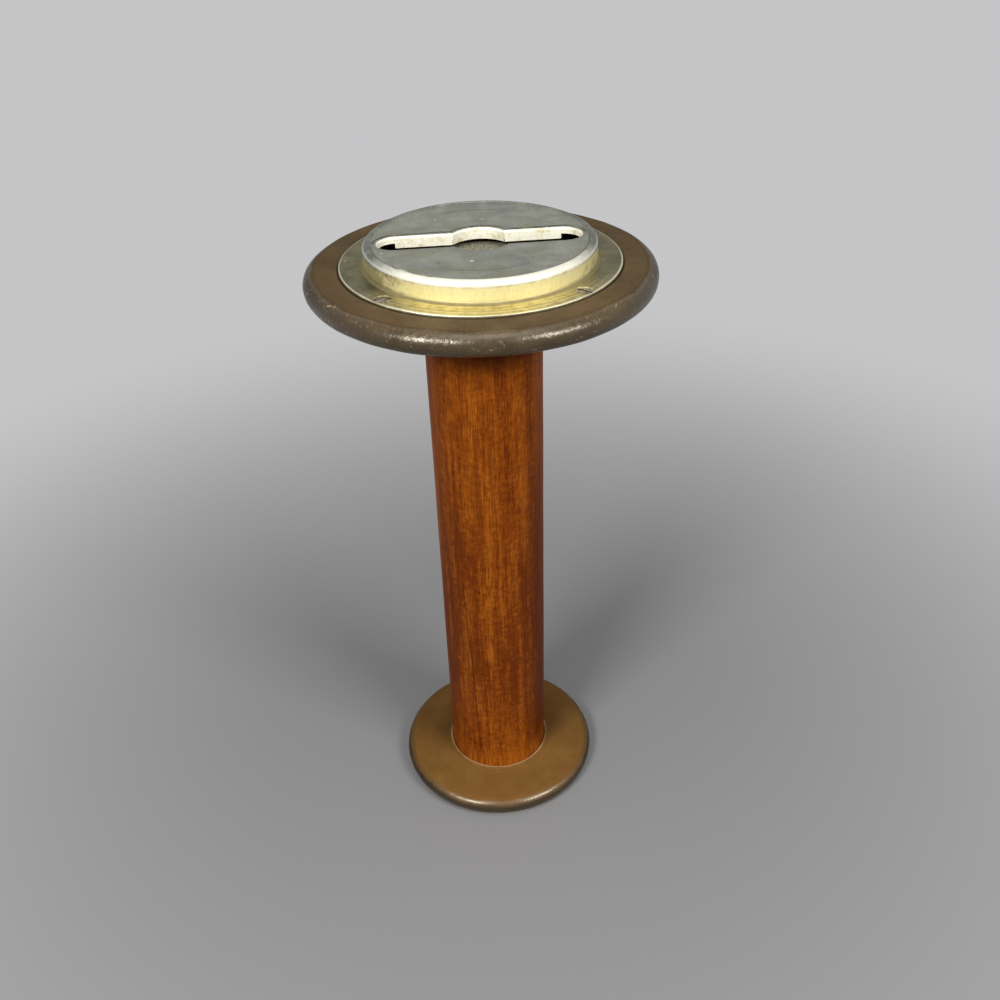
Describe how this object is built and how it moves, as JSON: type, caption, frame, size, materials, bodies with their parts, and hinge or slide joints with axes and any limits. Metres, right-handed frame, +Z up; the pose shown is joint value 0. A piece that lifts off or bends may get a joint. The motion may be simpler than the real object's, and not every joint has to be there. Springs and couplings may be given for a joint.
{
  "type": "textile mill bobbin",
  "caption": "Double-headed wooden mill bobbin with fibre heads, a slotted pressed-metal drive cap on the large head and a bushed spindle bore.",
  "frame": {"origin": "centre of the small head's underside, the face the bobbin stands on", "axes": "+Z up the barrel towards the drive cap, X along the drive slot"},
  "size_m": [0.1396, 0.1396, 0.2857],
  "materials": {
    "barrel_wood": "old clear varnish over stained hardwood, worn",
    "dark_fibre": "vulcanised fibre, matt face and rim polished by handling",
    "olive_fibre": "vulcanised fibre, matt face and rim polished by handling",
    "plated_sheet": "brass-plated pressed sheet, plating worn to grey on the face",
    "screw_steel": "tarnished, worn bright on the high edges",
    "bush_brass": "dull inside tube"
  },
  "bodies": {
    "root": {"barrel": "barrel_wood", "large_head": "dark_fibre", "small_head": "olive_fibre", "drive_cap": "plated_sheet", "cap_screws": "screw_steel", "large_head_screws": "screw_steel", "small_head_screws": "screw_steel", "drive_bush": "bush_brass", "foot_bush": "bush_brass"}
  },
  "joints": []
}
